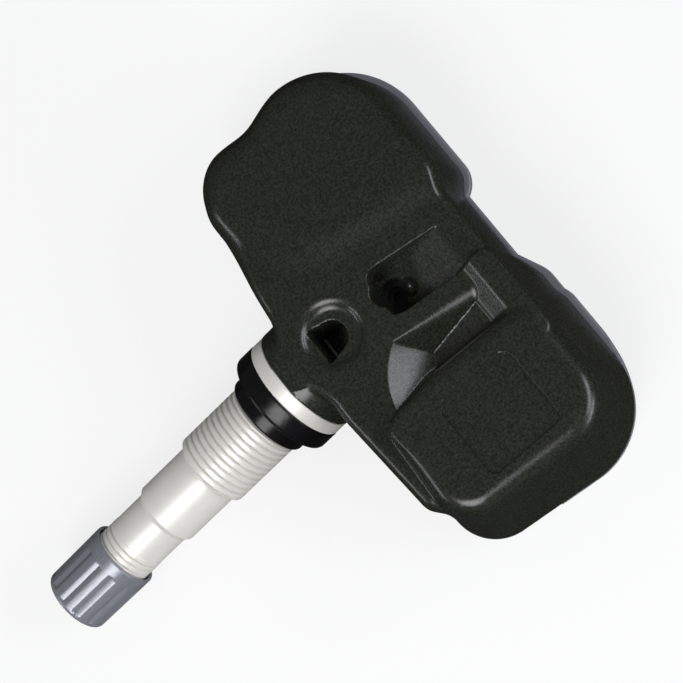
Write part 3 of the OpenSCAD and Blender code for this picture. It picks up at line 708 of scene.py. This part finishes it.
def to_row(p):
    """From the case's own frame to the row frame, in millimetres."""
    c, s = math.cos(DIP), math.sin(DIP)
    return np.stack([p[:, 0], -s * p[:, 1] + c * p[:, 2], flange_front - c * p[:, 1] - s * p[:, 2]], 1)


def to_case(p):
    c, s = math.cos(DIP), math.sin(DIP)
    y, z = p[:, 1], p[:, 2] - flange_front
    return np.stack([p[:, 0], -s * y - c * z, c * y - s * z], 1)


def moulding(name, form, low, high, step, material, replaces, keep):
    points, faces, slope = skin(form, low, high, step)
    made = solid(name, to_row(points), faces.tolist(), material, "case", replaces)
    thin = made.modifiers.new("thin", "DECIMATE")
    thin.ratio = keep
    thin.use_collapse_triangulate = True
    mesh = bpy.data.meshes.new_from_object(made.evaluated_get(bpy.context.evaluated_depsgraph_get()))
    made.modifiers.remove(thin)
    made.data = mesh
    count, corners = len(mesh.vertices), len(mesh.loops)
    co, vertex, face_normal = np.empty(count * 3), np.empty(corners, int), np.empty(len(mesh.polygons) * 3)
    mesh.vertices.foreach_get("co", co)
    mesh.loops.foreach_get("vertex_index", vertex)
    mesh.polygons.foreach_get("normal", face_normal)
    g = slope(to_case(co.reshape(-1, 3) / MM), 0.06)
    g /= np.maximum(np.linalg.norm(g, axis=1, keepdims=True), 1e-9)
    c, s = math.cos(DIP), math.sin(DIP)
    soft = np.stack([g[:, 0], -s * g[:, 1] + c * g[:, 2], -c * g[:, 1] - s * g[:, 2]], 1)[vertex]
    flat_normal = np.repeat(face_normal.reshape(-1, 3), 3, axis=0)
    agree = (soft * flat_normal).sum(1, keepdims=True) > math.cos(math.radians(28))
    mesh.normals_split_custom_set(np.where(agree, soft, flat_normal).tolist())
    print(name, len(points), "points,", len(mesh.polygons), "triangles kept")
    return made


# the pieces
black = moulded_black()
make_stem(plated_alloy())
make_grommet(glossy_rubber())
make_cap(satin_grey())
grid = 0.22
moulding("case_moulded", case_form, (-32, -1, -8.2), (32.5, 33, 10.2), grid, black,
         "housing", 0.45)
moulding("cover_moulded", cover_form, (-32.5, 2, -9.3), (33, 33.5, -2.2), grid, moulded_cover(),
         "base_cover", 0.4)

finishes = {
    "seal_rubber": plain("seal_rubber", (0.006, 0.006, 0.006), 0.6),
    "core_brass": plain("core_brass", (0.7, 0.5, 0.2), 0.28, 1.0, 0.2, 0.004),
    "washer_plastic": plain("washer_plastic", (0.8, 0.8, 0.76), 0.45),
    "spring_steel": plain("spring_steel", (0.6, 0.6, 0.62), 0.25, 1.0, 0.1, 0.003),
    "board": board_green(),
    "cell_steel": plain("cell_steel", (0.68, 0.68, 0.7), 0.3, 1.0, 0.8, 0.01),
    "strap_steel": plain("strap_steel", (0.7, 0.67, 0.6), 0.3, 1.0, 0.3, 0.005),
    "chip_plastic": plain("chip_plastic", (0.008, 0.008, 0.008), 0.6, 0, 0.1, 0.006),
    "ferrite": plain("ferrite", (0.06, 0.055, 0.05), 0.55, 0, 0.2, 0.02),
    "copper": plain("copper_wire", (0.5, 0.2, 0.07), 0.3, 1.0, 0.3, 0.004),
    "ceramic": plain("ceramic", (0.42, 0.32, 0.2), 0.45, 0, 0.2, 0.01),
}
make_coil(finishes["copper"])
for part in frame["record"]["subparts"]:
    kept = frame["nodes"][part["node"]]
    if part["material_slot"] in finishes:
        for slot in kept.material_slots:
            slot.material = finishes[part["material_slot"]]


# floor, world and lamps
def make_floor():
    """A white table under the case and cap. The camera sees it white, with the part's shadow on it."""
    cap_drop, cap_away, half = 3.2, 72.5, 900
    lean = math.atan2(cap_drop, cap_away)
    c, s = math.cos(DIP - lean), math.sin(DIP - lean)
    normal = np.array((0, c, -s))
    along = np.array((0, -s, -c))
    far = to_row(np.array([(0, 32.3, -8.85)]))[0]
    mesh = bpy.data.meshes.new("floor")
    side = np.array((1.0, 0, 0))
    corners = [far + a * side * half + b * along * half for a, b in ((-1, -1), (1, -1), (1, 1), (-1, 1))]
    mesh.from_pydata([tuple(p * MM) for p in corners], [], [(0, 3, 2, 1)])
    mesh.update()
    if mesh.polygons[0].normal.dot(normal.tolist()) < 0:
        mesh.flip_normals()
    made = bpy.data.objects.new("floor", mesh)
    bpy.context.scene.collection.objects.link(made)
    mat = bpy.data.materials.new("floor_white")
    mat.use_nodes = True
    tree = mat.node_tree
    tree.nodes.clear()
    start = Wire(tree, None)
    out = tree.nodes.new("ShaderNodeOutputMaterial")
    seen = start.node("ShaderNodeLightPath", out="Is Camera Ray")
    gloss = start.node("ShaderNodeLightPath", out="Is Glossy Ray")
    back = start.node("ShaderNodeNewGeometry", out="Backfacing")
    shade = start.node("ShaderNodeBsdfDiffuse", inputs={"Color": (0.85, 0.85, 0.85, 1)})
    glow = start.node("ShaderNodeEmission", inputs={"Color": (1, 1, 1, 1), "Strength": seen + gloss * 0.025})
    clear = start.node("ShaderNodeBsdfTransparent")
    mixed = start.node("ShaderNodeMixShader", inputs={0: gloss + seen * 0.75, 1: shade, 2: glow})
    front = start.node("ShaderNodeMixShader", inputs={0: back, 1: mixed, 2: clear})
    tree.links.new(front.socket, out.inputs[0])
    mesh.materials.append(mat)


def make_world():
    world = bpy.data.worlds.new("studio")
    bpy.context.scene.world = world
    world.use_nodes = True
    tree = world.node_tree
    tree.nodes.clear()
    start = Wire(tree, None)
    out = tree.nodes.new("ShaderNodeOutputWorld")
    gloss = start.node("ShaderNodeLightPath", out="Is Glossy Ray")
    dim = start.node("ShaderNodeBackground", inputs={
        "Color": (0.95, 0.97, 1, 1), "Strength": gloss * -0.14 + 0.26})
    white = start.node("ShaderNodeBackground", inputs={"Color": (1, 1, 1, 1), "Strength": 1.0})
    seen = start.node("ShaderNodeLightPath", out="Is Camera Ray")
    mixed = start.node("ShaderNodeMixShader", inputs={0: seen, 1: dim, 2: white})
    tree.links.new(mixed.socket, out.inputs[0])


def lamp(name, toward, size, power, colour=(1, 1, 1), shape="RECTANGLE", distance=500):
    """A soft box in a direction given in the case's own frame. Its width is level with the case's face."""
    origin, tip, above = to_row(np.array([(0.0, 10, 0), (toward[0], toward[1] + 10, toward[2]), (0, 10, 1)]))
    way = (tip - origin) / np.linalg.norm(tip - origin)
    side = np.cross(above - origin, way)
    side /= np.linalg.norm(side)
    data = bpy.data.lights.new(name, "AREA")
    data.shape = shape
    data.size, data.size_y = size[0] * MM, size[1] * MM
    data.energy = power
    data.color = colour
    made = bpy.data.objects.new(name, data)
    bpy.context.scene.collection.objects.link(made)
    turn = Matrix([[side[i], np.cross(way, side)[i], way[i]] for i in range(3)]).to_4x4()
    turn.translation = (origin + way * distance) * MM
    made.matrix_world = turn


make_floor()
make_world()
lamp("key", (0.42, -0.47, 0.775), (290, 290), 1.5, shape="ELLIPSE")
lamp("far_high", (0.375, 0.705, 0.602), (420, 140), 1.1, (0.93, 0.95, 1))
lamp("far_low", (0.76, 0.595, 0.26), (300, 90), 0.7, (0.92, 0.94, 1))
lamp("near_side", (-0.21, -0.91, 0.36), (200, 70), 0.27, (0.93, 0.95, 1))

bpy.context.scene.view_settings.view_transform = "Standard"
